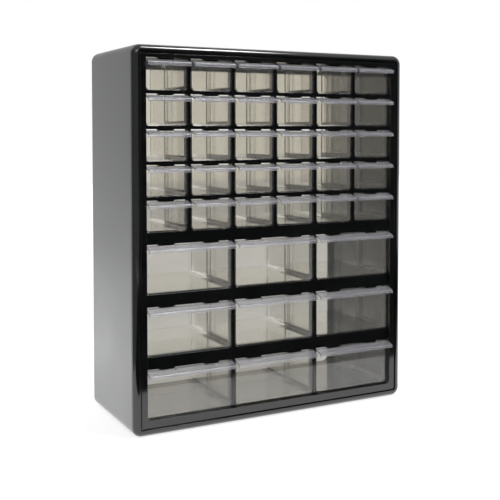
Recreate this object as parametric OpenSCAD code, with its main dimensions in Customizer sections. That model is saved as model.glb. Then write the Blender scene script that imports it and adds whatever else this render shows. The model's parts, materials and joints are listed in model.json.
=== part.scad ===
// Wall or bench cabinet with clear pull-out drawers: five rows of small drawers above
// three rows of large ones. Millimetres, +Z up, the drawers face -Y, and the origin is
// the centre of the footprint on the bench.

/* [Drawer cells] */
// Columns of small drawers, two to each large drawer
small_columns = 6; // [4:2:8]
// Rows of small drawers
small_rows = 5; // [2:1:7]
// Rows of large drawers below them
large_rows = 3; // [1:1:4]
// Width of a small drawer's cell
small_cell_w = 55.7; // [46:0.1:80]
// Height of a small drawer's cell
small_cell_h = 38.5; // [30:0.5:60]
// Height of a large drawer's cell
large_cell_h = 60.4; // [44:0.2:90]
// Radius of the lower corners of every cell
cell_r = 5.3; // [3.5:0.1:7]

/* [Drawer grid] */
// Width of the upright bars between columns
bar_w = 3.9; // [3.2:0.1:6]
// Height of the rails between rows of small drawers
rail_h = 4.25; // [3:0.25:8]
// Height of the belt under the last row of small drawers
belt_h = 14.7; // [8:0.1:24]
// Height of the belts between rows of large drawers
large_belt_h = 15.2; // [8:0.1:24]
// Depth of the bars, rails and belts
grid_d = 11; // [9:0.5:18]
// Thickness of the plate in front of the grid's hollows
grid_plate_t = 2.4; // [1.6:0.1:4]
// Thickness of the walls round the grid's hollows
grid_wall = 2.2; // [1.4:0.1:3]
// How far the grid lies behind the crown of the bezel
grid_recess = 6.5; // [5.5:0.1:12]
// Width of the stop lugs under each rail
lug_w = 19.2; // [10:0.2:26]
// Depth of the stop lugs
lug_d = 8; // [4:0.5:9]
// How far the stop lugs hang below the rail
lug_h = 2; // [1.6:0.1:2.6]

/* [Bezel] */
// Distance from the left and right faces of the cabinet to the cells
side_border = 18.2; // [16:0.1:26]
// Distance from the top face to the first row of cells
top_border = 15.3; // [14:0.1:26]
// Distance from the bottom face to the last row of cells
bottom_border = 18.9; // [14:0.1:30]
// Radius of the front's round outer edge, which runs on into the casing
edge_r = 8; // [6:0.5:8.5]
// Width of the bead that the round edge forms
bead_w = 8.4; // [7.5:0.1:9.5]
// Height of the bead above the groove's floor
bead_h = 2.8; // [1.8:0.1:3.4]
// Width of the groove inside the bead
groove_w = 2.2; // [1:0.1:2.6]
// How far the flat band lies behind the crown of the bead
band_drop = 0.7; // [0.5:0.1:1.6]
// Thickness of the flange that closes the front of the casing
flange_t = 1.7; // [1.2:0.1:2]

/* [Casing] */
// Thickness of the casing
casing_t = 2.2; // [1.6:0.1:3]
// Radius of the long outer corners
corner_r = 12; // [10.5:0.5:13.5]
// Clearance between the casing and what stands inside it
fit = 0.2; // [0.1:0.05:0.3]

/* [Rear frame] */
// Width of the left and right borders of the rear opening
rear_side = 24; // [20:0.5:40]
// Height of the upper border of the rear opening
rear_top = 19.5; // [18:0.5:40]
// Height of the lower border of the rear opening
rear_bottom = 17.5; // [10:0.5:40]
// Radius of the corners of the rear opening
rear_r = 8; // [4:0.5:14]
// Thickness of the rear plate
rear_t = 3; // [2:0.5:5]
// Depth of the skirt that stands inside the casing
skirt_d = 5; // [3:0.5:7.5]
// Thickness of the skirt
skirt_t = 2; // [1.5:0.1:3]
// Radius of the entry hole of each hanging slot
keyhole_r = 4; // [3:0.1:4.5]
// Width of the slot above the entry hole
keyslot_w = 4.2; // [3:0.1:5]
// Height of the slot above the entry hole's centre
keyslot_h = 5.5; // [4:0.5:6]
// Distance between the two hanging slots
keyhole_spacing = 304.8; // [150:0.1:310]

/* [Runner combs] */
// Length of the runner arms behind the drawer faces
arm_reach = 80; // [50:0.5:110]
// Half the width of the runner flange
flange_half = 8.8; // [7:0.1:12]
// Thickness of the runner flange
runner_t = 1.5; // [1.2:0.1:2.4]
// Thickness of the upright web
web_t = 1.2; // [1:0.1:2.6]
// Height of the web above the flange
web_h = 6; // [3:0.5:12]
// Depth of the post that ties the arms together
post_d = 1.5; // [1:0.5:6]

/* [Drawers] */
// Length of a drawer from its face to the back of its rear wall
drawer_len = 137.5; // [100:0.5:200]
// Thickness of the walls and the floor
wall_t = 1.5; // [1.2:0.1:2]
// Thickness of the front panel
face_t = 1.8; // [1.4:0.1:2.6]
// Clearance at each side of a drawer in its cell
side_gap = 0.3; // [0.25:0.05:0.6]
// Clearance between a drawer and its runners
run_gap = 0.3; // [0.25:0.05:0.6]
// Gap between the top edge of a drawer and the rail above
top_gap = 0.9; // [0.5:0.1:1.2]
// Clearance round the stop lugs
lug_gap = 0.8; // [0.4:0.1:1.5]
// How far the side walls end below the front panel
side_drop = 1.5; // [0.5:0.5:4]
// How far the finger lip reaches out from the face
lip_len = 13; // [8:0.5:18]
// How far the lip falls on its way forward
lip_fall = 4.4; // [2:0.1:6]
// Height of the rim at the front of the lip
rim_h = 4; // [3:0.1:6]
// Thickness of the lip
lip_t = 1.8; // [1.2:0.1:2.4]
// Distance from the face to the middle of the divider slot
slot_at = 64.2; // [40:0.1:90]
// Width of the divider slot
slot_w = 2.1; // [1.4:0.1:3]
// Width of the rib on each side of the slot
rib_w = 2.2; // [1.2:0.1:3]
// How far the ribs stand out of the side wall
rib_out = 1.2; // [0.8:0.1:2]
// Gap between the rear ends of the drawers and the rear plate
rear_gap = 8; // [8:0.5:20]

/* [Hidden] */
$fn = 64;
eps = 0.5;
black = "#16171a";
shell_grey = "#616263";
clear = [0.82, 0.81, 0.76, 0.45];

large_columns = small_columns / 2;
rows = small_rows + large_rows;
small_pitch = small_cell_w + bar_w;
large_cell_w = 2 * small_cell_w + bar_w;
large_pitch = large_cell_w + bar_w;
cells_w = small_columns * small_pitch - bar_w;
small_stack = small_rows * small_cell_h + (small_rows - 1) * rail_h;
large_stack = large_rows * large_cell_h + (large_rows - 1) * large_belt_h;
cells_h = small_stack + belt_h + large_stack;

body_w = cells_w + 2 * side_border;
body_h = cells_h + top_border + bottom_border;
body_d = grid_recess + drawer_len + rear_gap + rear_t;
lip_out = lip_len - grid_recess;

// the footprint, lips included, is centred on the origin
crown_y = lip_out - (body_d + lip_out) / 2;
back_y = crown_y + body_d;
edge_y = crown_y + edge_r;
casing_y = crown_y + bead_h + flange_t;
grid_y = crown_y + grid_recess;
grid_back_y = grid_y + grid_d;
rear_plate_y = back_y - rear_t;

// the hanging slots stand in the middle of the flat part of the rear frame's top border
keyhole_room = rear_top - casing_t - fit - skirt_t;
keyhole_tall = keyhole_r + keyslot_h + keyslot_w / 2;
keyhole_z = body_h - rear_top + keyhole_r + (keyhole_room - keyhole_tall) / 2;

inner_w = body_w - 2 * casing_t;
inner_h = body_h - 2 * casing_t;
inner_r = corner_r - casing_t;
drawer_r = cell_r - side_gap;

// the floor of each row's cells, counted from the top row
function row_z(i) = i < small_rows
    ? body_h - top_border - (i + 1) * small_cell_h - i * rail_h
    : bottom_border + (rows - 1 - i) * (large_cell_h + large_belt_h);
function small_x(i) = -cells_w / 2 + small_cell_w / 2 + i * small_pitch;
function large_x(i) = -cells_w / 2 + large_cell_w / 2 + i * large_pitch;
// the middle of each line between columns, from the left border to the right one
function column_edge(i) = -cells_w / 2 - bar_w / 2 + i * small_pitch;

small_drawers = [for (r = [1:small_rows], c = [1:small_columns]) [r, c]];
large_drawers = [for (r = [1:large_rows], c = [1:large_columns]) [r, c]];
combs = [1:small_columns + 1];
function small_name(d) = str("small_drawer_", d[0], "_", d[1]);
function large_name(d) = str("large_drawer_", d[0], "_", d[1]);
function comb_name(i) = str("runner_comb_", i);

// extrudes an outline drawn in X and Z along Y
module along_y(y0, y1) {
    translate([0, y1, 0]) rotate([90, 0, 0]) linear_extrude(y1 - y0) children();
}

// rectangle with four round corners, centred in x and standing on the x axis
module rounded_rect(w, h, r) {
    translate([-w / 2 + r, 0]) square([w - 2 * r, h]);
    translate([-w / 2, r]) square([w, h - 2 * r]);
    for (x = [-1, 1], z = [r, h - r]) translate([x * (w / 2 - r), z]) circle(r);
}

// opening with round lower corners and square upper ones
module cell_outline(w, h, r) {
    translate([-w / 2 + r, 0]) square([w - 2 * r, h]);
    translate([-w / 2, r]) square([w, h - r]);
    for (x = [-1, 1]) translate([x * (w / 2 - r), r]) circle(r);
}

// the casing's inside, drawn in by gap
module inner_outline(gap) {
    translate([0, casing_t + gap])
        rounded_rect(inner_w - 2 * gap, inner_h - 2 * gap, inner_r - gap);
}

module window_outline() {
    translate([0, bottom_border]) cell_outline(cells_w, cells_h, cell_r);
}

module all_cells() {
    for (r = [0:small_rows - 1], c = [0:small_columns - 1])
        translate([small_x(c), row_z(r)]) cell_outline(small_cell_w, small_cell_h, cell_r);
    for (r = [small_rows:rows - 1], c = [0:large_columns - 1])
        translate([large_x(c), row_z(r)]) cell_outline(large_cell_w, large_cell_h, cell_r);
}

// the front's outer edge in section, from one height to another above its foot: the
// quarter round outside, and the bead's inner wall inside
module edge_profile(low, high) {
    intersection() {
        translate([edge_r, 0]) circle(edge_r);
        translate([0, low]) square([bead_w, high - low]);
    }
}

// that profile carried round the outline of the front
module edge_ring(low, high) {
    side = body_w / 2 - corner_r;
    translate([0, edge_y, 0]) rotate([90, 0, 0]) {
        for (m = [0, 1]) mirror([m, 0, 0]) {
            translate([-body_w / 2, body_h - corner_r, 0]) rotate([90, 0, 0])
                linear_extrude(body_h - 2 * corner_r) edge_profile(low, high);
            translate([-side, corner_r, 0]) rotate([0, 0, 180]) edge_corner(low, high);
            translate([-side, body_h - corner_r, 0]) rotate([0, 0, 90]) edge_corner(low, high);
        }
        for (m = [0, 1]) translate([0, m * body_h, 0]) mirror([0, m, 0])
            translate([-side, 0, 0]) rotate([90, 0, 90])
                linear_extrude(2 * side) edge_profile(low, high);
    }
}

module edge_corner(low, high) {
    rotate_extrude(angle = 90) translate([corner_r, 0]) mirror([1, 0]) edge_profile(low, high);
}

// four walls whose front ends follow the round edge
module casing() {
    color(shell_grey) difference() {
        union() {
            edge_ring(0, edge_y - casing_y);
            along_y(edge_y, back_y) rounded_rect(body_w, body_h, corner_r);
        }
        along_y(casing_y - eps, back_y + eps) inner_outline(0);
    }
}

module bezel() {
    band_in = bead_w + groove_w;
    band_r = max(corner_r - band_in, 0.5);
    flange_in = edge_r / 2;
    color(black) difference() {
        union() {
            edge_ring(edge_y - casing_y, edge_r);
            along_y(crown_y + bead_h, casing_y) translate([0, flange_in]) rounded_rect(
                body_w - 2 * flange_in, body_h - 2 * flange_in, corner_r - flange_in);
            along_y(casing_y - eps, grid_y) inner_outline(fit);
            along_y(crown_y + band_drop, casing_y) translate([0, band_in])
                rounded_rect(body_w - 2 * band_in, body_h - 2 * band_in, band_r);
        }
        along_y(crown_y - eps, grid_y + eps) window_outline();
    }
}

// a field of cells of the given height above z, with its wall
module walled_field(z, h) {
    translate([-cells_w / 2 - grid_wall, z - grid_wall])
        square([cells_w + 2 * grid_wall, h + 2 * grid_wall]);
}

// the borders and belts, which are hollow at the back
module hollow_outline() {
    difference() {
        inner_outline(fit + grid_wall);
        walled_field(row_z(small_rows - 1), small_stack);
        for (r = [small_rows:rows - 1]) walled_field(row_z(r), large_cell_h);
    }
}

module drawer_grid() {
    color(black) {
        difference() {
            along_y(grid_y, grid_back_y) inner_outline(fit);
            along_y(grid_y - eps, grid_back_y + eps) all_cells();
            along_y(grid_y + grid_plate_t, grid_back_y + eps) hollow_outline();
        }
        for (r = [0:rows - 1], c = [0:small_columns - 1]) {
            top = row_z(r) + (r < small_rows ? small_cell_h : large_cell_h);
            translate([small_x(c) - lug_w / 2, grid_y, top - lug_h])
                cube([lug_w, lug_d, lug_h + eps]);
        }
    }
}

// hanging slot, its entry hole on the origin
module keyhole() {
    circle(keyhole_r);
    translate([-keyslot_w / 2, 0]) square([keyslot_w, keyslot_h]);
    translate([0, keyslot_h]) circle(keyslot_w / 2);
}

module rear_frame() {
    color(black) difference() {
        along_y(rear_plate_y - skirt_d, back_y) inner_outline(fit);
        along_y(rear_plate_y - skirt_d - eps, rear_plate_y) inner_outline(fit + skirt_t);
        along_y(rear_plate_y - eps, back_y + eps) {
            translate([0, rear_bottom]) rounded_rect(
                body_w - 2 * rear_side, body_h - rear_top - rear_bottom, rear_r);
            for (s = [-1, 1]) translate([s * keyhole_spacing / 2, keyhole_z]) keyhole();
        }
    }
}

// T-shaped runner arms stacked along one line between columns, tied at their ends
// by a post: the drawers on both sides slide on the flanges
module runner_comb(i) {
    edge = i - 1;
    full_height = edge % 2 == 0;
    last_row = full_height ? rows - 1 : small_rows - 1;
    left = edge == 0 ? web_t / 2 : flange_half;
    right = edge == small_columns ? web_t / 2 : flange_half;
    arm_end = grid_y + arm_reach;
    top_z = row_z(0) + small_cell_h;
    color(black) translate([column_edge(edge), 0, 0]) {
        for (r = [0:last_row]) {
            z = row_z(r) - runner_t;
            translate([-left, grid_back_y, z])
                cube([left + right, arm_end - grid_back_y, runner_t]);
            translate([-web_t / 2, grid_back_y, z])
                cube([web_t, arm_end - grid_back_y, runner_t + web_h]);
        }
        translate([-web_t / 2, grid_back_y, top_z - web_h])
            cube([web_t, arm_end - grid_back_y, web_h]);
        translate([-web_t / 2, arm_end - post_d, row_z(last_row) - runner_t])
            cube([web_t, post_d, top_z - row_z(last_row) + runner_t]);
    }
}

// the hooded finger lip, seen from the side: a sloping hood and a rim hanging from it
module lip_profile(h) {
    foot = h - lip_fall - rim_h;
    under = (lip_len - lip_t) * lip_fall / lip_len;
    polygon([
        [0, h], [-lip_len, h - lip_fall], [-lip_len, foot], [-lip_len + lip_t, foot],
        [-lip_len + lip_t, h - under - lip_t], [0, h - lip_t], [face_t, h - lip_t],
        [face_t, h]
    ]);
}

// an open-topped tray with its face on the y = 0 plane: w and h are its outer sizes
// and lugs are the places across it of the stop lugs that it passes under
module drawer(w, h, lugs) {
    inside_w = w - 2 * wall_t;
    notch_h = lug_h + lug_gap - top_gap;
    notch_reach = notch_h * lip_len / lip_fall;
    color(clear) difference() {
        union() {
            difference() {
                along_y(0, drawer_len) cell_outline(w, h, drawer_r);
                along_y(face_t, drawer_len - wall_t) translate([0, wall_t])
                    cell_outline(inside_w, h, drawer_r - wall_t);
            }
            for (m = [0, 1], s = [-1, 1]) mirror([m, 0, 0])
                translate([-inside_w / 2 - eps, slot_at + s * (slot_w + rib_w) / 2 - rib_w / 2, drawer_r])
                    cube([rib_out + eps, rib_w, h - drawer_r]);
            translate([-w / 2, 0, 0]) rotate([90, 0, 90]) linear_extrude(w) lip_profile(h);
        }
        for (x = lugs) translate([x - lug_w / 2 - lug_gap, -notch_reach - eps, h - notch_h])
            cube([lug_w + 2 * lug_gap, notch_reach + face_t + 2 * eps, notch_h + eps]);
        translate([-w / 2 - eps, face_t, h - side_drop])
            cube([w + 2 * eps, drawer_len - wall_t - face_t, side_drop + eps]);
    }
}

module small_drawer(d) {
    translate([small_x(d[1] - 1), grid_y, row_z(d[0] - 1) + run_gap])
        drawer(small_cell_w - 2 * side_gap, small_cell_h - run_gap - top_gap, [0]);
}

module large_drawer(d) {
    translate([large_x(d[1] - 1), grid_y, row_z(small_rows + d[0] - 1) + run_gap])
        drawer(large_cell_w - 2 * side_gap, large_cell_h - run_gap - top_gap,
            [-small_pitch / 2, small_pitch / 2]);
}

casing();
bezel();
drawer_grid();
rear_frame();
for (i = combs)
    runner_comb(i);
for (d = small_drawers)
    small_drawer(d);
for (d = large_drawers)
    large_drawer(d);
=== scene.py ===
import json
import math

import bmesh
import bpy
from mathutils import Euler, Matrix, Vector

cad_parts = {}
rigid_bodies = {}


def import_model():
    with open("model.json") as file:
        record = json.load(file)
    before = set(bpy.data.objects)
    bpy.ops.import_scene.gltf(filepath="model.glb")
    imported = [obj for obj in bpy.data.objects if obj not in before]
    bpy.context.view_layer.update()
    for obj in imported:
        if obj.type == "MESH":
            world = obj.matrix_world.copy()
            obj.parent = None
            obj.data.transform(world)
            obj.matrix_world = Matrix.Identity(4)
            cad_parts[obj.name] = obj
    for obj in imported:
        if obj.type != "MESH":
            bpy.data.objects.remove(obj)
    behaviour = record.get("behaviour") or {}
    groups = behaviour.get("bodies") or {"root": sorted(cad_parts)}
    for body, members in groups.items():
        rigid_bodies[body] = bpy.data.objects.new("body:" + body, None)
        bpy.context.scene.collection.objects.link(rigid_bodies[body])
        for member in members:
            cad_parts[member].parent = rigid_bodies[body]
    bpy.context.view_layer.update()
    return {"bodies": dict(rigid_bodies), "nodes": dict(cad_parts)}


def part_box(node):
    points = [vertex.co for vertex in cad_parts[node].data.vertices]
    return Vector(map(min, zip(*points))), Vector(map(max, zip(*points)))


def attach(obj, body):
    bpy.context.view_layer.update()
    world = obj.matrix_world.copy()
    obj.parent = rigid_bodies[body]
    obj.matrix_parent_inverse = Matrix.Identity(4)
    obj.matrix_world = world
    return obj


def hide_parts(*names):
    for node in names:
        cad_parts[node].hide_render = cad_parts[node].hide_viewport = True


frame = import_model()

nearlySharp = 0.0003  # smallest corner radius of a moulded edge
over = 0.001  # how far a cut runs past the face that it opens
flatFace = 0.0002  # a face larger than this is flat, not part of a rounded edge
sharpAngle = math.radians(32)  # edges that turn more than this are sharp
weldDistance = 0.00001
combEdge = 0.00025  # corner radius on the thin arms of the combs


# ---- camera, light and floor

cameraPlace = {
    "location": (-0.5558, -1.0812, 0.3666),
    "pitchDown": 2.34,  # degrees
    "turnRight": 27.98,
    "lens": 64.9,
    "sensor": 36.0,
    "shiftX": -0.0264,
    "shiftY": -0.1634,
}


def placeCamera():
    data = bpy.data.cameras.new("camera")
    data.lens = cameraPlace["lens"]
    data.sensor_width = cameraPlace["sensor"]
    data.shift_x = cameraPlace["shiftX"]
    data.shift_y = cameraPlace["shiftY"]
    camera = bpy.data.objects.new("camera", data)
    camera.location = cameraPlace["location"]
    camera.rotation_euler = Euler((
        math.radians(90 - cameraPlace["pitchDown"]), 0, -math.radians(cameraPlace["turnRight"])))
    bpy.context.scene.collection.objects.link(camera)
    bpy.context.scene.camera = camera


studio = {
    "worldStrength": 0.45,
    "worldColour": (0.95, 0.97, 1.0, 1),
    "backdrop": (0.85, 0.81, 0.725, 1),  # what the clear plastic shows of the room behind
    "insideShare": 0.72,  # how much of it is left in reflections inside the drawers
    "bounces": 32,  # a view through the cabinet crosses many clear walls
    # name, place, where it points, size, power, whether glossy faces and clear plastic show it
    "lamps": [
        ("topLamp", (0.56, -0.67, 1.8), (0, 0, 0.3), 0.36, 20, True),
        ("leftLamp", (-0.45, 0.35, 0.15), (-0.2, 0.05, 0.1), 0.3, 1.7, False),
        ("frontLamp", (-0.7, -2.3, 1.3), (0, 0, 0.2), 1.2, 14, True),
    ],
    # cards that only reflections see, each with its glow: black ones in front and on the floor there,
    # grey ones at the left, on the floor at the left and behind
    "cards": [
        (0, [(0.05, -1.2, 0), (1.45, -1.2, 0), (1.45, -1.2, 1.3), (0.05, -1.2, 1.3)]),
        (0, [(-0.8, -1.2, 0.0005), (1.6, -1.2, 0.0005), (1.6, -0.25, 0.0005), (-0.8, -0.25, 0.0005)]),
        (0.5, [(-1.1, -1.3, 0), (-1.1, 0.3, 0), (-1.1, 0.3, 1.2), (-1.1, -1.3, 1.2)]),
        (0.5, [(-1.1, -1.3, 0), (0.05, -1.3, 0), (0.05, -1.3, 0.8), (-1.1, -1.3, 0.8)]),
        (0.5, [(-1.1, -1.2, 0.0008), (-0.5, -1.2, 0.0008), (-0.5, 0.3, 0.0008), (-1.1, 0.3, 0.0008)]),
        (0.75, [(-2.2, 1.2, 0), (-0.1, 1.2, 0), (-0.1, 1.2, 1.5), (-2.2, 1.2, 1.5)]),
    ],
}

floorSizes = {
    "half": 5.0,
    "colour": (0.42, 0.42, 0.42, 1),
    "glowNear": 0.72,  # what is seen of the floor without the lamps
    "glowFar": 1.0,
    "near": 0.45,
    "far": 1.5,
    "throughGlow": 0.42,  # share of that glow seen through clear plastic
    "sheetGlow": 1.7,  # what glossy faces reflect of the white sheet round the cabinet
}


colourA, colourB, colourOut = 6, 7, 2  # sockets of a Mix node that mixes colours
numberA, numberB = 2, 3  # and of one that mixes numbers
anyBounce = 0.5  # lies between no bounce and one


def mathNode(nodes, links, operation, first, second):
    node = nodes.new("ShaderNodeMath")
    node.operation = operation
    for value, socket in ((first, node.inputs[0]), (second, node.inputs[1])):
        if isinstance(value, bpy.types.NodeSocket):
            links.new(value, socket)
        else:
            socket.default_value = value
    return node.outputs[0]


def raysHere(nodes, links):
    # seen is 1 for rays that meet the background in the picture, through for those that come through
    # plastic and reflected for those from a glossy face; dimming is below 1 after a reflection inside
    path = nodes.new("ShaderNodeLightPath")
    glossy, through = path.outputs["Is Glossy Ray"], path.outputs["Is Transmission Ray"]
    viewed = mathNode(nodes, links, "MAXIMUM", path.outputs["Is Camera Ray"], glossy)
    viewed = mathNode(nodes, links, "MAXIMUM", viewed, through)
    direct = mathNode(nodes, links, "LESS_THAN", path.outputs["Diffuse Depth"], anyBounce)
    bounced = mathNode(nodes, links, "GREATER_THAN", path.outputs["Glossy Depth"], anyBounce)
    inside = mathNode(nodes, links, "MULTIPLY", bounced, through)
    loss = mathNode(nodes, links, "MULTIPLY", inside, 1 - studio["insideShare"])
    return {
        "seen": mathNode(nodes, links, "MULTIPLY", viewed, direct),
        "through": through,
        "reflected": mathNode(nodes, links, "SUBTRACT", glossy, through),
        "dimming": mathNode(nodes, links, "SUBTRACT", 1, loss),
    }


def paperColour(nodes, links, through, backdrop):
    # white where the background is seen directly, the backdrop's colour where it is seen through plastic
    paper = nodes.new("ShaderNodeMix")
    paper.data_type = "RGBA"
    paper.inputs[colourA].default_value = (1, 1, 1, 1)
    paper.inputs[colourB].default_value = backdrop
    links.new(through, paper.inputs["Factor"])
    return paper.outputs[colourOut]


def lightStudio():
    scene = bpy.context.scene
    scene.cycles.max_bounces = studio["bounces"]
    scene.cycles.transmission_bounces = studio["bounces"]
    world = bpy.data.worlds.new("studio")
    scene.world = world
    world.use_nodes = True
    nodes, links = world.node_tree.nodes, world.node_tree.links
    nodes.clear()
    light = nodes.new("ShaderNodeBackground")
    light.inputs["Color"].default_value = studio["worldColour"]
    light.inputs["Strength"].default_value = studio["worldStrength"]
    rays = raysHere(nodes, links)
    white = nodes.new("ShaderNodeBackground")
    links.new(paperColour(nodes, links, rays["through"], studio["backdrop"]), white.inputs["Color"])
    links.new(rays["dimming"], white.inputs["Strength"])
    mix = nodes.new("ShaderNodeMixShader")
    out = nodes.new("ShaderNodeOutputWorld")
    links.new(rays["seen"], mix.inputs[0])
    links.new(light.outputs[0], mix.inputs[1])
    links.new(white.outputs[0], mix.inputs[2])
    links.new(mix.outputs[0], out.inputs["Surface"])
    for name, place, aim, size, power, glints in studio["lamps"]:
        data = bpy.data.lights.new(name, "AREA")
        data.energy = power
        data.size = size
        lamp = bpy.data.objects.new(name, data)
        lamp.location = place
        lamp.rotation_euler = (Vector(aim) - Vector(place)).to_track_quat("-Z", "Y").to_euler()
        lamp.visible_glossy = glints
        lamp.visible_transmission = glints
        scene.collection.objects.link(lamp)


def flatPiece(name, corners, material):
    mesh = bpy.data.meshes.new(name)
    mesh.from_pydata(corners, [], [(0, 1, 2, 3)])
    mesh.materials.append(material)
    piece = bpy.data.objects.new(name, mesh)
    bpy.context.scene.collection.objects.link(piece)
    return piece


def placeCards():
    for brightness, corners in studio["cards"]:
        material = bpy.data.materials.new("card")
        material.use_nodes = True
        nodes, links = material.node_tree.nodes, material.node_tree.links
        nodes.clear()
        glow = nodes.new("ShaderNodeEmission")
        glow.inputs["Strength"].default_value = brightness
        out = nodes.new("ShaderNodeOutputMaterial")
        links.new(glow.outputs[0], out.inputs["Surface"])
        card = flatPiece("card", corners, material)
        card.visible_camera = False
        card.visible_diffuse = False
        card.visible_transmission = False
        card.visible_shadow = False


def layFloor():
    material = bpy.data.materials.new("paleFloor")
    material.use_nodes = True
    nodes, links = material.node_tree.nodes, material.node_tree.links
    nodes.clear()
    matt = nodes.new("ShaderNodeBsdfDiffuse")
    matt.inputs["Color"].default_value = floorSizes["colour"]
    coordinates = nodes.new("ShaderNodeTexCoord")
    length = nodes.new("ShaderNodeVectorMath")
    length.operation = "LENGTH"
    links.new(coordinates.outputs["Object"], length.inputs[0])
    fade = nodes.new("ShaderNodeMapRange")
    fade.interpolation_type = "SMOOTHSTEP"
    fade.inputs["From Min"].default_value = floorSizes["near"]
    fade.inputs["From Max"].default_value = floorSizes["far"]
    fade.inputs["To Min"].default_value = floorSizes["glowNear"]
    fade.inputs["To Max"].default_value = floorSizes["glowFar"]
    links.new(length.outputs["Value"], fade.inputs["Value"])
    rays = raysHere(nodes, links)
    strength = nodes.new("ShaderNodeMix")
    links.new(rays["reflected"], strength.inputs["Factor"])
    links.new(fade.outputs["Result"], strength.inputs[numberA])
    strength.inputs[numberB].default_value = floorSizes["sheetGlow"]
    glow = nodes.new("ShaderNodeEmission")
    dimBackdrop = [floorSizes["throughGlow"] * c for c in studio["backdrop"][:3]] + [1]
    links.new(paperColour(nodes, links, rays["through"], dimBackdrop), glow.inputs["Color"])
    kept = mathNode(nodes, links, "MULTIPLY", rays["seen"], rays["dimming"])
    links.new(mathNode(nodes, links, "MULTIPLY", kept, strength.outputs[0]), glow.inputs["Strength"])
    both = nodes.new("ShaderNodeAddShader")
    links.new(matt.outputs[0], both.inputs[0])
    links.new(glow.outputs[0], both.inputs[1])
    out = nodes.new("ShaderNodeOutputMaterial")
    links.new(both.outputs[0], out.inputs["Surface"])
    half = floorSizes["half"]
    flatPiece("floor", [(-half, -half, 0), (half, -half, 0), (half, half, 0), (-half, half, 0)], material)


# ---- materials

def newMaterial(name):
    material = bpy.data.materials.new(name)
    material.use_nodes = True
    nodes = material.node_tree.nodes
    shader = next(n for n in nodes if n.type == "BSDF_PRINCIPLED")
    return material, nodes, material.node_tree.links, shader


def noiseOn(nodes, links, scale, detail):
    coordinates = nodes.new("ShaderNodeTexCoord")
    noise = nodes.new("ShaderNodeTexNoise")
    noise.inputs["Scale"].default_value = scale
    noise.inputs["Detail"].default_value = detail
    links.new(coordinates.outputs["Object"], noise.inputs["Vector"])
    return noise.outputs["Fac"]


noiseLow, noiseHigh = 0.3, 0.7  # noise seldom leaves this range


def between(nodes, links, driver, low, high):
    ranger = nodes.new("ShaderNodeMapRange")
    ranger.inputs["From Min"].default_value = noiseLow
    ranger.inputs["From Max"].default_value = noiseHigh
    ranger.inputs["To Min"].default_value = low
    ranger.inputs["To Max"].default_value = high
    links.new(driver, ranger.inputs["Value"])
    return ranger.outputs["Result"]


def blendColours(nodes, links, driver, first, second):
    ramp = nodes.new("ShaderNodeValToRGB")
    ramp.color_ramp.elements[0].position = noiseLow
    ramp.color_ramp.elements[0].color = first
    ramp.color_ramp.elements[1].position = noiseHigh
    ramp.color_ramp.elements[1].color = second
    links.new(driver, ramp.inputs["Fac"])
    return ramp.outputs["Color"]


def bumpFrom(nodes, links, driver, distance, strength, shader):
    bump = nodes.new("ShaderNodeBump")
    bump.inputs["Distance"].default_value = distance
    bump.inputs["Strength"].default_value = strength
    links.new(driver, bump.inputs["Height"])
    links.new(bump.outputs[0], shader.inputs["Normal"])


casingFinish = {
    "darker": (0.105, 0.106, 0.108, 1),
    "lighter": (0.135, 0.136, 0.138, 1),
    "patchScale": 9,
    "patchDetail": 4,
    "grainScale": 1400,
    "grainDetail": 2,
    "grainDepth": 0.00002,
    "grainStrength": 0.5,
    "smoothest": 0.34,
    "roughest": 0.46,
}


def casingMaterial():
    material, nodes, links, shader = newMaterial("casingPlastic")
    patches = noiseOn(nodes, links, casingFinish["patchScale"], casingFinish["patchDetail"])
    links.new(blendColours(nodes, links, patches, casingFinish["darker"], casingFinish["lighter"]),
              shader.inputs["Base Color"])
    links.new(between(nodes, links, patches, casingFinish["smoothest"], casingFinish["roughest"]),
              shader.inputs["Roughness"])
    grain = noiseOn(nodes, links, casingFinish["grainScale"], casingFinish["grainDetail"])
    bumpFrom(nodes, links, grain, casingFinish["grainDepth"], casingFinish["grainStrength"], shader)
    return material


frameFinish = {
    "deep": (0.0045, 0.0048, 0.005, 1),
    "worn": (0.0075, 0.008, 0.0082, 1),
    "patchScale": 22,
    "patchDetail": 5,
    "smoothest": 0.07,
    "roughest": 0.12,
    "waveScale": 120,
    "waveDetail": 1,
    "waveDepth": 0.00003,
    "waveStrength": 0.3,
}


def frameMaterial():
    material, nodes, links, shader = newMaterial("framePlastic")
    patches = noiseOn(nodes, links, frameFinish["patchScale"], frameFinish["patchDetail"])
    links.new(blendColours(nodes, links, patches, frameFinish["deep"], frameFinish["worn"]),
              shader.inputs["Base Color"])
    links.new(between(nodes, links, patches, frameFinish["smoothest"], frameFinish["roughest"]),
              shader.inputs["Roughness"])
    waves = noiseOn(nodes, links, frameFinish["waveScale"], frameFinish["waveDetail"])
    bumpFrom(nodes, links, waves, frameFinish["waveDepth"], frameFinish["waveStrength"], shader)
    return material


trayFinish = {
    "tint": (0.95, 0.945, 0.92, 1),
    "ior": 1.5,
    "roughness": 0.04,
    "clearness": 0.97,
    "waveScale": 30,
    "waveDetail": 2,
    "waveDepth": 0.00001,
    "waveStrength": 0.3,
}

lipFinish = {
    "tint": (0.88, 0.88, 0.935, 1),
    "ior": 1.5,
    "roughness": 0.2,
    "clearness": 0.88,
    "waveScale": 30,
    "waveDetail": 2,
    "waveDepth": 0.00001,
    "waveStrength": 0.3,
}


def trayMaterial(name, finish):
    material, nodes, links, shader = newMaterial(name)
    shader.inputs["Base Color"].default_value = finish["tint"]
    shader.inputs["Transmission Weight"].default_value = finish["clearness"]
    shader.inputs["IOR"].default_value = finish["ior"]
    shader.inputs["Roughness"].default_value = finish["roughness"]
    waves = noiseOn(nodes, links, finish["waveScale"], finish["waveDetail"])
    bumpFrom(nodes, links, waves, finish["waveDepth"], finish["waveStrength"], shader)
    return material


# ---- geometry node helpers

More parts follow.
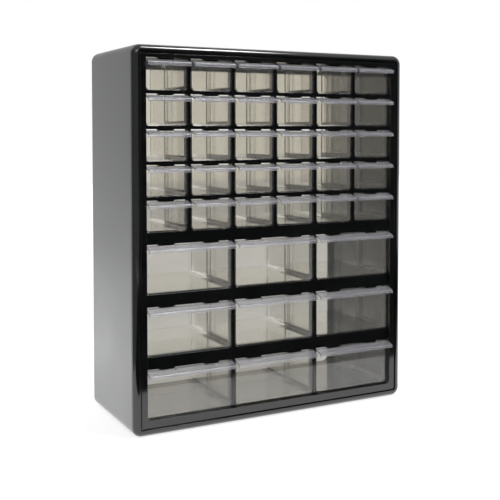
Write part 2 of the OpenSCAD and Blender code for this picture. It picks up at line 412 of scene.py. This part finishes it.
class Size:
    # a number inside a node tree: + - * / between sizes make Math nodes
    def __init__(self, tree, socket):
        self.tree = tree
        self.socket = socket

    def calculate(self, operation, first, second):
        node = self.tree.nodes.new("ShaderNodeMath")
        node.operation = operation
        feed(self.tree, first, node.inputs[0])
        feed(self.tree, second, node.inputs[1])
        return Size(self.tree, node.outputs[0])

    def __add__(self, other):
        return self.calculate("ADD", self, other)

    def __radd__(self, other):
        return self.calculate("ADD", other, self)

    def __sub__(self, other):
        return self.calculate("SUBTRACT", self, other)

    def __rsub__(self, other):
        return self.calculate("SUBTRACT", other, self)

    def __mul__(self, other):
        return self.calculate("MULTIPLY", self, other)

    def __truediv__(self, other):
        return self.calculate("DIVIDE", self, other)

    def __neg__(self):
        return self.calculate("MULTIPLY", self, -1)


def feed(tree, value, socket):
    if isinstance(value, Size):
        tree.links.new(value.socket, socket)
    elif isinstance(value, bpy.types.NodeSocket):
        tree.links.new(value, socket)
    else:
        socket.default_value = value


def point(tree, x, y, z):
    node = tree.nodes.new("ShaderNodeCombineXYZ")
    for value, socket in zip((x, y, z), node.inputs):
        feed(tree, value, socket)
    return node.outputs[0]


def newTree(name, sizes, materials=("material",)):
    tree = bpy.data.node_groups.new(name, "GeometryNodeTree")
    for key, value in sizes.items():
        kind = "NodeSocketInt" if isinstance(value, int) else "NodeSocketFloat"
        tree.interface.new_socket(key, in_out="INPUT", socket_type=kind)
    for key in materials:
        tree.interface.new_socket(key, in_out="INPUT", socket_type="NodeSocketMaterial")
    tree.interface.new_socket("mesh", in_out="OUTPUT", socket_type="NodeSocketGeometry")
    start = tree.nodes.new("NodeGroupInput")
    inputs = {s.name: Size(tree, s) for s in start.outputs if s.name in sizes}
    return tree, start, inputs


def finishTree(tree, start, mesh, picked=()):
    # picked has selections of faces, each with the name of the input that holds their material
    realize = tree.nodes.new("GeometryNodeRealizeInstances")
    smooth = tree.nodes.new("GeometryNodeSetShadeSmooth")
    tree.links.new(mesh, realize.inputs[0])
    tree.links.new(realize.outputs[0], smooth.inputs[0])
    painted = smooth.outputs[0]
    for selection, key in [(None, "material"), *picked]:
        paint = tree.nodes.new("GeometryNodeSetMaterial")
        tree.links.new(painted, paint.inputs["Geometry"])
        tree.links.new(start.outputs[key], paint.inputs["Material"])
        if selection:
            tree.links.new(selection, paint.inputs["Selection"])
        painted = paint.outputs[0]
    end = tree.nodes.new("NodeGroupOutput")
    tree.links.new(painted, end.inputs[0])


def moved(tree, mesh, translation, rotation=None):
    node = tree.nodes.new("GeometryNodeTransform")
    tree.links.new(mesh, node.inputs["Geometry"])
    feed(tree, translation, node.inputs["Translation"])
    if rotation:
        node.inputs["Rotation"].default_value = rotation
    return node.outputs[0]


def block(tree, low, high):
    cube = tree.nodes.new("GeometryNodeMeshCube")
    size = point(tree, *[b - a for a, b in zip(low, high)])
    feed(tree, size, cube.inputs["Size"])
    return moved(tree, cube.outputs["Mesh"], point(tree, *[(a + b) / 2 for a, b in zip(low, high)]))


def welded(tree, mesh):
    weld = tree.nodes.new("GeometryNodeMergeByDistance")
    weld.inputs["Distance"].default_value = weldDistance
    tree.links.new(mesh, weld.inputs["Geometry"])
    return weld.outputs[0]


def boolean(tree, operation, first, others):
    node = tree.nodes.new("GeometryNodeMeshBoolean")
    node.operation = operation
    node.solver = "EXACT"
    if operation == "DIFFERENCE":
        tree.links.new(first, node.inputs["Mesh 1"])
    else:
        tree.links.new(first, node.inputs["Mesh 2"])
    for other in others:
        tree.links.new(other, node.inputs["Mesh 2"])
    return welded(tree, node.outputs["Mesh"])


def sweep(tree, profile, start, end):
    # a closed prism of a flat outline along the straight line from start to end
    line = tree.nodes.new("GeometryNodeCurvePrimitiveLine")
    feed(tree, start, line.inputs["Start"])
    feed(tree, end, line.inputs["End"])
    node = tree.nodes.new("GeometryNodeCurveToMesh")
    tree.links.new(line.outputs[0], node.inputs["Curve"])
    tree.links.new(profile, node.inputs["Profile Curve"])
    node.inputs["Fill Caps"].default_value = True
    return welded(tree, node.outputs[0])


def roundedBlock(tree, width, low, high, lowRadius, highRadius, front, back, steps=8):
    # upright rectangle with its own radius at the lower and the upper corners, from front to back
    outline = tree.nodes.new("GeometryNodeCurvePrimitiveQuadrilateral")
    feed(tree, width, outline.inputs["Width"])
    feed(tree, high - low, outline.inputs["Height"])
    place = tree.nodes.new("GeometryNodeInputPosition")
    axes = tree.nodes.new("ShaderNodeSeparateXYZ")
    tree.links.new(place.outputs[0], axes.inputs[0])
    isUpper = tree.nodes.new("FunctionNodeCompare")
    isUpper.operation = "GREATER_THAN"
    tree.links.new(axes.outputs["Y"], isUpper.inputs[0])
    radius = tree.nodes.new("GeometryNodeSwitch")
    radius.input_type = "FLOAT"
    tree.links.new(isUpper.outputs[0], radius.inputs["Switch"])
    feed(tree, lowRadius, radius.inputs["False"])
    feed(tree, highRadius, radius.inputs["True"])
    fillet = tree.nodes.new("GeometryNodeFilletCurve")
    fillet.mode = "POLY"
    fillet.inputs["Count"].default_value = steps
    tree.links.new(outline.outputs[0], fillet.inputs["Curve"])
    tree.links.new(radius.outputs[0], fillet.inputs["Radius"])
    solid = sweep(tree, fillet.outputs[0], point(tree, 0, 0, -back), point(tree, 0, 0, -front))
    return moved(tree, solid, point(tree, 0, 0, (low + high) / 2), (math.pi / 2, 0, 0))


def roundedOutline(tree, corners, steps=3):
    # a closed outline through corners that each have their own radius
    line = tree.nodes.new("GeometryNodeMeshLine")
    line.inputs["Count"].default_value = len(corners)
    curve = tree.nodes.new("GeometryNodeMeshToCurve")
    tree.links.new(line.outputs[0], curve.inputs["Mesh"])
    closed = tree.nodes.new("GeometryNodeSetSplineCyclic")
    closed.inputs["Cyclic"].default_value = True
    tree.links.new(curve.outputs[0], closed.inputs[0])
    order = tree.nodes.new("GeometryNodeInputIndex")
    chosen = {}
    for kind, values in (("VECTOR", [point(tree, x, y, 0) for x, y, _ in corners]),
                         ("FLOAT", [radius for _, _, radius in corners])):
        choice = tree.nodes.new("GeometryNodeIndexSwitch")
        choice.data_type = kind
        while len(choice.index_switch_items) < len(corners):
            choice.index_switch_items.new()
        tree.links.new(order.outputs[0], choice.inputs["Index"])
        for i, value in enumerate(values):
            feed(tree, value, choice.inputs[i + 1])
        chosen[kind] = choice.outputs[0]
    placed = tree.nodes.new("GeometryNodeSetPosition")
    tree.links.new(closed.outputs[0], placed.inputs["Geometry"])
    tree.links.new(chosen["VECTOR"], placed.inputs["Position"])
    fillet = tree.nodes.new("GeometryNodeFilletCurve")
    fillet.mode = "POLY"
    fillet.inputs["Count"].default_value = steps
    tree.links.new(placed.outputs[0], fillet.inputs["Curve"])
    tree.links.new(chosen["FLOAT"], fillet.inputs["Radius"])
    return fillet.outputs[0]


def beyond(tree, axis, operation, limit):
    # selects faces by where their middle lies along one axis
    place = tree.nodes.new("GeometryNodeInputPosition")
    axes = tree.nodes.new("ShaderNodeSeparateXYZ")
    tree.links.new(place.outputs[0], axes.inputs[0])
    compare = tree.nodes.new("FunctionNodeCompare")
    compare.operation = operation
    tree.links.new(axes.outputs[axis], compare.inputs[0])
    feed(tree, limit, compare.inputs[1])
    return compare.outputs[0]


def placedOn(tree, points, mesh):
    node = tree.nodes.new("GeometryNodeInstanceOnPoints")
    tree.links.new(points, node.inputs["Points"])
    tree.links.new(mesh, node.inputs["Instance"])
    realize = tree.nodes.new("GeometryNodeRealizeInstances")
    tree.links.new(node.outputs[0], realize.inputs[0])
    return realize.outputs[0]


def rowOfPoints(tree, count, start, pitch):
    line = tree.nodes.new("GeometryNodeMeshLine")
    feed(tree, count, line.inputs["Count"])
    feed(tree, start, line.inputs["Start Location"])
    feed(tree, pitch, line.inputs["Offset"])
    return line.outputs[0]


def gridOfPoints(tree, columns, rows, pitchX, pitchZ, lowest):
    # points in upright rows, centred across, the lowest row at the height lowest
    grid = tree.nodes.new("GeometryNodeMeshGrid")
    feed(tree, columns, grid.inputs["Vertices X"])
    feed(tree, rows, grid.inputs["Vertices Y"])
    feed(tree, (columns - 1) * pitchX, grid.inputs["Size X"])
    feed(tree, (rows - 1) * pitchZ, grid.inputs["Size Y"])
    middle = point(tree, 0, 0, lowest + (rows - 1) * pitchZ / 2)
    return moved(tree, grid.outputs["Mesh"], middle, (math.pi / 2, 0, 0))


def roundEdges(piece, width, segments=2):
    bevel = piece.modifiers.new("roundedEdges", "BEVEL")
    bevel.width = width
    bevel.segments = segments
    bevel.limit_method = "ANGLE"
    bevel.angle_limit = sharpAngle
    bevel.harden_normals = True
    bevel.miter_outer = "MITER_ARC"


def makeFrom(tree, values, name, edge=0):
    # evaluates the tree, with its edges rounded where edge is given, and returns a plain mesh
    holder = bpy.data.objects.new(name, bpy.data.meshes.new(name))
    bpy.context.scene.collection.objects.link(holder)
    modifier = holder.modifiers.new(name, "NODES")
    modifier.node_group = tree
    for item in tree.interface.items_tree:
        if item.in_out == "INPUT":
            modifier[item.identifier] = values[item.name]
    if edge:
        roundEdges(holder, edge)
    evaluated = holder.evaluated_get(bpy.context.evaluated_depsgraph_get())
    mesh = bpy.data.meshes.new_from_object(evaluated)
    mesh.name = name
    bpy.data.objects.remove(holder)
    if not edge:
        mesh.set_sharp_from_angle(angle=sharpAngle)
    normals = [Vector(n.vector) for n in mesh.corner_normals]
    for face in mesh.polygons:
        if face.area > flatFace:
            for corner in face.loop_indices:
                normals[corner] = face.normal.copy()
    mesh.normals_split_custom_set(normals)
    return mesh


def standIn(name, mesh, node):
    # puts a finished mesh in the place of a CAD node
    piece = bpy.data.objects.new(name, mesh)
    bpy.context.scene.collection.objects.link(piece)
    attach(piece, node if node in frame["bodies"] else "cabinet")
    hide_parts(node)
    return piece


# ---- pieces that are one section carried round an upright rectangle

sideShare = 0.45  # most of a side that one soft corner takes


def softened(section, radius, kept=(), steps=3):
    # the closed section with its corners turned into small arcs, apart from those that are kept
    result = []
    for i, corner in enumerate(section):
        before = Vector(section[i - 1])
        here = Vector(corner)
        after = Vector(section[(i + 1) % len(section)])
        if corner in kept:
            result.append(here)
            continue
        reach = min(radius, sideShare * (before - here).length, sideShare * (after - here).length)
        first = here + (before - here).normalized() * reach
        last = here + (after - here).normalized() * reach
        for step in range(steps + 1):
            t = step / steps
            result.append(first * (1 - t) ** 2 + here * 2 * t * (1 - t) + last * t ** 2)
    return result


frontEdge = {
    "radius": 0.008,  # of the front's round outer edge, which runs on into the casing
    "beadWidth": 0.0084,
    "casingSteps": 6,  # of that edge, on the casing
    "bezelSteps": 14,
}


def edgeArc(crown, first, last, steps):
    # insets and depths on that round edge, between two angles from the outer face
    radius = frontEdge["radius"]
    angles = [first + (last - first) * i / steps for i in range(steps + 1)]
    return [(radius * (1 - math.cos(a)), crown + radius * (1 - math.sin(a))) for a in angles]


def seamAngle():
    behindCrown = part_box("casing")[0].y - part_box("bezel")[0].y
    return math.asin(1 - behindCrown / frontEdge["radius"])


def outlinePoints(outline, inset, y, steps=10):
    half, low, high = outline["half"] - inset, outline["low"] + inset, outline["high"] - inset
    points = []
    for side, z, radius, turn in ((1, low, "lowRadius", -90), (1, high, "highRadius", 0),
                                  (-1, high, "highRadius", 90), (-1, low, "lowRadius", 180)):
        r = max(outline[radius] - inset, nearlySharp)
        centreX = side * (half - r)
        centreZ = z + r if z == low else z - r
        for step in range(steps + 1):
            angle = math.radians(turn + 90 * step / steps)
            points.append((centreX + r * math.cos(angle), y, centreZ + r * math.sin(angle)))
    return points


def loftRings(name, rings, material):
    # joins rings of equally many points, the last to the first
    count = len(rings[0])
    faces = []
    for i in range(len(rings)):
        a, b = i * count, (i + 1) % len(rings) * count
        faces += [(a + j, a + (j + 1) % count, b + (j + 1) % count, b + j) for j in range(count)]
    mesh = bpy.data.meshes.new(name)
    mesh.from_pydata([p for ring in rings for p in ring], [], faces)
    shape = bmesh.new()
    shape.from_mesh(mesh)
    bmesh.ops.recalc_face_normals(shape, faces=shape.faces)
    shape.to_mesh(mesh)
    shape.free()
    mesh.shade_smooth()
    mesh.materials.append(material)
    return mesh


def evenShading(piece):
    # large flat faces keep their own normals beside narrow rounded ones
    shading = piece.modifiers.new("evenShading", "WEIGHTED_NORMAL")
    shading.weight = 100  # the largest


casingSizes = {
    "half": 0.19505,
    "low": 0.0,
    "high": 0.47,
    "lowRadius": 0.012,
    "highRadius": 0.012,
    "wall": 0.0022,
    "edge": 0.0004,
}


def makeCasing(material):
    low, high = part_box("casing")
    front, back, wall = low.y, high.y, casingSizes["wall"]
    arc = edgeArc(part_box("bezel")[0].y, 0, seamAngle(), frontEdge["casingSteps"])
    section = softened(arc + [(wall, front), (wall, back), (0, back)], casingSizes["edge"], arc[:-1])
    mesh = loftRings("casingShell", [outlinePoints(casingSizes, u, y) for u, y in section], material)
    evenShading(standIn("casingShell", mesh, "casing"))
    print("casing:", len(mesh.polygons), "faces")


bezelSizes = {
    "beadHeight": 0.0028,
    "grooveWidth": 0.0022,
    "bandDrop": 0.0007,
    "plugInset": 0.0024,
    "edge": 0.00035,
    "window": {
        "half": 0.17685,
        "low": 0.0189,
        "high": 0.4547,
        "lowRadius": 0.0053,
        "highRadius": nearlySharp,
    },
    "windowAt": 0.02,  # how far in the section meets the window
    "changeAt": 0.015,  # from here on the section follows the window, not the outer outline
}


def makeBezel(material):
    s = bezelSizes
    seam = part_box("casing")[0].y
    low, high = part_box("bezel")
    crown, rear = low.y, high.y
    foot, band = crown + s["beadHeight"], crown + s["bandDrop"]
    beadEnd = frontEdge["beadWidth"]
    grooveEnd = beadEnd + s["grooveWidth"]
    beadAngle = math.acos(1 - beadEnd / frontEdge["radius"])
    arc = edgeArc(crown, seamAngle(), beadAngle, frontEdge["bezelSteps"])
    section = softened(arc + [
        (beadEnd, foot), (grooveEnd, foot), (grooveEnd, band), (s["windowAt"], band), (s["windowAt"], rear),
        (s["plugInset"], rear), (s["plugInset"], seam)], s["edge"], arc[1:-1])
    rings = []
    for u, y in section:
        if u > s["changeAt"]:
            rings.append(outlinePoints(s["window"], u - s["windowAt"], y))
        else:
            rings.append(outlinePoints(casingSizes, u, y))
    mesh = loftRings("frontBezel", rings, material)
    evenShading(standIn("frontBezel", mesh, "bezel"))
    print("bezel:", len(mesh.polygons), "faces")


# ---- drawer lattice

latticeSizes = {
    "rimRadius": 0.0096,
    "smallColumns": 6,
    "smallRows": 5,
    "largeColumns": 3,
    "largeRows": 3,
    "smallWidth": 0.0557,
    "smallHeight": 0.0385,
    "largeHeight": 0.0604,
    "cellRadius": 0.0053,
    "bar": 0.0039,
    "rail": 0.00425,
    "belt": 0.0147,
    "largeBelt": 0.0152,
    "bottom": 0.0189,  # height of the lowest cells
    "plate": 0.0024,
    "wall": 0.0022,
    "lugWidth": 0.0192,
    "lugDepth": 0.008,
    "lugHeight": 0.002,
}


def latticeTree(sizes):
    tree, start, s = newTree("drawerLattice", sizes)
    front, back, wall = s["front"], s["back"], s["wall"]
    smallPitchX, smallPitchZ = s["smallWidth"] + s["bar"], s["smallHeight"] + s["rail"]
    largeWidth = s["smallWidth"] * 2 + s["bar"]
    largePitchZ = s["largeHeight"] + s["largeBelt"]
    smallLow = s["bottom"] + largePitchZ * s["largeRows"] - s["largeBelt"] + s["belt"]
    smallHigh = smallLow + smallPitchZ * s["smallRows"] - s["rail"]
    fieldHalf = (smallPitchX * s["smallColumns"] - s["bar"]) / 2 + wall
    rim = roundedBlock(tree, s["width"], s["low"], s["high"], s["rimRadius"], s["rimRadius"], front, back)
    smallCell = roundedBlock(tree, s["smallWidth"], 0, s["smallHeight"], s["cellRadius"], 0,
                             front - over, back + over)
    smallCells = placedOn(tree, gridOfPoints(
        tree, s["smallColumns"], s["smallRows"], smallPitchX, smallPitchZ, smallLow), smallCell)
    largeCell = roundedBlock(tree, largeWidth, 0, s["largeHeight"], s["cellRadius"], 0,
                             front - over, back + over)
    largeCells = placedOn(tree, gridOfPoints(
        tree, s["largeColumns"], s["largeRows"], largeWidth + s["bar"], largePitchZ, s["bottom"]), largeCell)

    # the borders and belts are hollow at the back, and the fields of cells keep a wall
    inside = s["rimRadius"] - wall
    hollow = roundedBlock(tree, s["width"] - wall * 2, s["low"] + wall, s["high"] - wall, inside, inside,
                          front + s["plate"], back + over)
    smallField = block(tree, (-fieldHalf, front, smallLow - wall),
                       (fieldHalf, back + 2 * over, smallHigh + wall))
    largeField = block(tree, (-fieldHalf, front, -wall),
                       (fieldHalf, back + 2 * over, s["largeHeight"] + wall))
    largeFields = placedOn(tree, rowOfPoints(
        tree, s["largeRows"], point(tree, 0, 0, s["bottom"]), point(tree, 0, 0, largePitchZ)), largeField)
    pockets = boolean(tree, "DIFFERENCE", hollow, [smallField, largeFields])
    lattice = boolean(tree, "DIFFERENCE", rim, [smallCells, largeCells, pockets])

    lug = block(tree, (-s["lugWidth"] / 2, front, -s["lugHeight"]),
                (s["lugWidth"] / 2, front + s["lugDepth"], over))
    smallTop = smallLow + s["smallHeight"]
    smallLugs = placedOn(tree, gridOfPoints(
        tree, s["smallColumns"], s["smallRows"], smallPitchX, smallPitchZ, smallTop), lug)
    largeTop = s["bottom"] + s["largeHeight"]
    largeLugs = placedOn(tree, gridOfPoints(
        tree, s["smallColumns"], s["largeRows"], smallPitchX, largePitchZ, largeTop), lug)
    finishTree(tree, start, boolean(tree, "UNION", lattice, [smallLugs, largeLugs]))
    return tree


def makeLattice(material):
    low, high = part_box("drawer_grid")
    sizes = dict(latticeSizes, width=high.x - low.x, low=low.z, high=high.z, front=low.y, back=high.y)
    mesh = makeFrom(latticeTree(sizes), dict(sizes, material=material), "drawerLattice", nearlySharp)
    standIn("drawerLattice", mesh, "drawer_grid")
    print("lattice:", len(mesh.polygons), "faces")


# ---- rear border

rearSizes = {
    "cornerRadius": 0.0096,
    "plate": 0.003,
    "skirt": 0.002,
    "openingHalf": 0.17105,
    "openingLow": 0.0175,
    "openingHigh": 0.4505,
    "openingRadius": 0.008,
    "holeRadius": 0.004,
    "slotHalf": 0.0021,
    "slotHeight": 0.0055,
    "holeSpacing": 0.3048,
    "holeLow": 0.45625,  # height of the entry holes
}


def rearTree(sizes):
    tree, start, s = newTree("rearBorder", sizes)
    front, back, skirt = s["front"], s["back"], s["skirt"]
    inside = s["cornerRadius"] - skirt
    body = roundedBlock(tree, s["width"], s["low"], s["high"], s["cornerRadius"], s["cornerRadius"],
                        front, back)
    pocket = roundedBlock(tree, s["width"] - skirt * 2, s["low"] + skirt, s["high"] - skirt, inside, inside,
                          front - over, back - s["plate"])
    opening = roundedBlock(tree, s["openingHalf"] * 2, s["openingLow"], s["openingHigh"], s["openingRadius"],
                           s["openingRadius"], front, back + over)
    nearlyRound = 0.999  # a full corner radius would leave sides of no length
    corner = s["holeRadius"] * nearlyRound
    hole = roundedBlock(tree, s["holeRadius"] * 2, -s["holeRadius"], s["holeRadius"], corner, corner,
                        front, back + over)
    slot = roundedBlock(tree, s["slotHalf"] * 2, 0, s["slotHeight"] + s["slotHalf"], 0,
                        s["slotHalf"] * nearlyRound, front, back + over)
    holes = placedOn(tree, rowOfPoints(
        tree, 2, point(tree, -s["holeSpacing"] / 2, 0, s["holeLow"]), point(tree, s["holeSpacing"], 0, 0)),
        boolean(tree, "UNION", hole, [slot]))
    finishTree(tree, start, boolean(tree, "DIFFERENCE", body, [pocket, opening, holes]))
    return tree


def makeRear(material):
    low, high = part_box("rear_frame")
    sizes = dict(rearSizes, width=high.x - low.x, low=low.z, high=high.z, front=low.y, back=high.y)
    mesh = makeFrom(rearTree(sizes), dict(sizes, material=material), "rearBorder", nearlySharp)
    standIn("rearBorder", mesh, "rear_frame")
    print("rear border:", len(mesh.polygons), "faces")


# ---- runner combs

combSizes = {
    "flange": 0.0015,
    "web": 0.0012,
    "webHeight": 0.006,
    "post": 0.0015,
    "smallRows": 5,
    "smallLow": 0.2452,
    "smallPitch": 0.04275,
    "largeLow": 0.0189,
    "largePitch": 0.0756,
    "top": 0.4547,
}


def combTree(sizes):
    tree, start, s = newTree("runnerComb", sizes)
    front, back, half = s["front"], s["back"], s["web"] / 2
    flange = block(tree, (-s["left"], front, -s["flange"]), (s["right"], back, 0))
    web = block(tree, (-half, front, -s["flange"]), (half, back, s["webHeight"]))
    arm = boolean(tree, "UNION", flange, [web])
    smallArms = placedOn(tree, rowOfPoints(
        tree, s["smallRows"], point(tree, 0, 0, s["smallLow"]), point(tree, 0, 0, s["smallPitch"])), arm)
    largeArms = placedOn(tree, rowOfPoints(
        tree, s["largeRows"], point(tree, 0, 0, s["largeLow"]), point(tree, 0, 0, s["largePitch"])), arm)
    topRib = block(tree, (-half, front, s["top"] - s["webHeight"]), (half, back, s["top"]))
    post = block(tree, (-half, back - s["post"], s["postLow"]), (half, back, s["top"]))
    finishTree(tree, start, boolean(tree, "UNION", post, [topRib, smallArms, largeArms]))
    return tree


def makeCombs(material):
    combs = sorted(n for n in frame["nodes"] if n.startswith("runner_comb_"))
    for node in combs:
        low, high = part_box(node)
        middle = (low.x + high.x) / 2
        if node == combs[0]:
            middle = low.x + combSizes["web"] / 2
        elif node == combs[-1]:
            middle = high.x - combSizes["web"] / 2
        isFull = low.z < combSizes["smallLow"] - combSizes["largePitch"]
        sizes = dict(combSizes, left=middle - low.x, right=high.x - middle, front=low.y, back=high.y,
                     postLow=low.z, largeRows=latticeSizes["largeRows"] if isFull else 0)
        name = node.replace("runner_comb_", "runnerComb")
        mesh = makeFrom(combTree(sizes), dict(sizes, material=material), name, combEdge)
        mesh.transform(Matrix.Translation((middle, 0, 0)))
        standIn(name, mesh, node)
    print("combs:", len(combs))


# ---- drawers

hollowTop = 0.01  # how far a tray's hollow runs past its open top

traySizes = {
    "wall": 0.0015,
    "face": 0.0018,
    "cornerRadius": 0.005,
    "sideDrop": 0.0015,  # the side walls end this far below the front
    "lipReach": 0.013,
    "lipFall": 0.0044,
    "lipDrop": 0.0002,  # of its root below the top of the face
    "rimHeight": 0.004,
    "lipThickness": 0.0018,
    "lipRound": 0.0016,  # of the edge where the lip turns down
    "innerRound": 0.0016 / 3,  # of the same edge on the underside
    "rimRound": 0.0008,
    "slotCentre": 0.0642,
    "slotWidth": 0.0021,
    "ribWidth": 0.0022,
    "ribDepth": 0.0012,
    "lugPitch": 0.0596,
    "notchWidth": 0.0208,
    "notchDepth": 0.0019,
}


def trayTree(sizes):
    tree, start, s = newTree("mouldedTray", sizes, ("material", "lipMaterial"))
    width, height, length = s["width"], s["height"], s["length"]
    wall, face = s["wall"], s["face"]
    inside = width - wall * 2
    outer = roundedBlock(tree, width, 0, height, s["cornerRadius"], 0, 0, length)
    hollow = roundedBlock(tree, inside, wall, height + hollowTop, s["cornerRadius"] - wall, 0,
                          face, length - wall)
    lowered = block(tree, (-width, face, height - s["sideDrop"]), (width, length - wall, height + over))
    tray = boolean(tree, "DIFFERENCE", outer, [hollow, lowered])

    rib = block(tree, (-s["ribDepth"], -s["ribWidth"] / 2, s["cornerRadius"]),
                (s["ribDepth"], s["ribWidth"] / 2, height - s["sideDrop"]))
    corners = tree.nodes.new("GeometryNodeMeshGrid")
    corners.inputs["Vertices X"].default_value = 2
    corners.inputs["Vertices Y"].default_value = 2
    feed(tree, inside, corners.inputs["Size X"])
    feed(tree, s["slotWidth"] + s["ribWidth"], corners.inputs["Size Y"])
    ribs = placedOn(tree, moved(tree, corners.outputs["Mesh"], point(tree, 0, s["slotCentre"], 0)), rib)

    # the lip seen from the side: a sloping hood that turns down at its front
    root, lipEnd, thick = face / 2, -s["lipReach"], s["lipThickness"]
    rootTop, lipTop = height - s["lipDrop"], height - s["lipFall"]
    slope = (rootTop - lipTop) / (root - lipEnd)
    rimLow = lipTop - s["rimHeight"]
    section = roundedOutline(tree, [
        (root, rootTop, 0),
        (lipEnd, lipTop, s["lipRound"]),
        (lipEnd, rimLow, s["rimRound"]),
        (lipEnd + thick, rimLow, s["rimRound"]),
        (lipEnd + thick, lipTop - thick + slope * thick, s["innerRound"]),
        (root, rootTop - thick, 0)])
    hood = sweep(tree, section, point(tree, 0, 0, -width / 2), point(tree, 0, 0, width / 2))
    lip = moved(tree, hood, (0, 0, 0), (math.pi / 2, 0, math.pi / 2))
    whole = boolean(tree, "UNION", tray, [ribs, lip])

    lugs = rowOfPoints(tree, s["lugs"], point(tree, -(s["lugs"] - 1) * s["lugPitch"] / 2, 0, 0),
                       point(tree, s["lugPitch"], 0, 0))
    notchReach = s["notchDepth"] * s["lipReach"] / s["lipFall"]
    notch = block(tree, (-s["notchWidth"] / 2, -notchReach - over, height - s["notchDepth"]),
                  (s["notchWidth"] / 2, face + over, height + over))
    isLip = beyond(tree, "Y", "LESS_THAN", -nearlySharp / 2)
    notched = boolean(tree, "DIFFERENCE", whole, [placedOn(tree, lugs, notch)])
    finishTree(tree, start, notched, [(isLip, "lipMaterial")])
    return tree


def makeTrays(clear, milky):
    trays = sorted(n for n in frame["nodes"] if "_drawer_" in n)
    meshes = {}
    for node in trays:
        low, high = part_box(node)
        kind = node.split("_")[0]
        place = Vector(((low.x + high.x) / 2, low.y + traySizes["lipReach"], low.z))
        if kind not in meshes:
            sizes = dict(traySizes, width=high.x - low.x, height=high.z - low.z,
                         length=high.y - low.y - traySizes["lipReach"], lugs=2 if kind == "large" else 1)
            values = dict(sizes, material=clear, lipMaterial=milky)
            meshes[kind] = makeFrom(trayTree(sizes), values, kind + "Tray")
            print(kind, "tray:", len(meshes[kind].polygons), "faces")
        mesh = meshes[kind].copy()
        mesh.transform(Matrix.Translation(place))
        standIn("tray_" + node.replace("_drawer", ""), mesh, node)
    print("trays placed:", len(trays))


placeCamera()
lightStudio()
placeCards()
layFloor()
print("studio:", len(studio["lamps"]), "lamps and", len(studio["cards"]), "cards")
casingPlastic = casingMaterial()
framePlastic = frameMaterial()
clearPlastic = trayMaterial("clearPlastic", trayFinish)
milkyPlastic = trayMaterial("milkyPlastic", lipFinish)
makeCasing(casingPlastic)
makeBezel(framePlastic)
makeLattice(framePlastic)
makeRear(framePlastic)
makeCombs(framePlastic)
makeTrays(clearPlastic, milkyPlastic)

bpy.context.scene.view_settings.view_transform = "Standard"
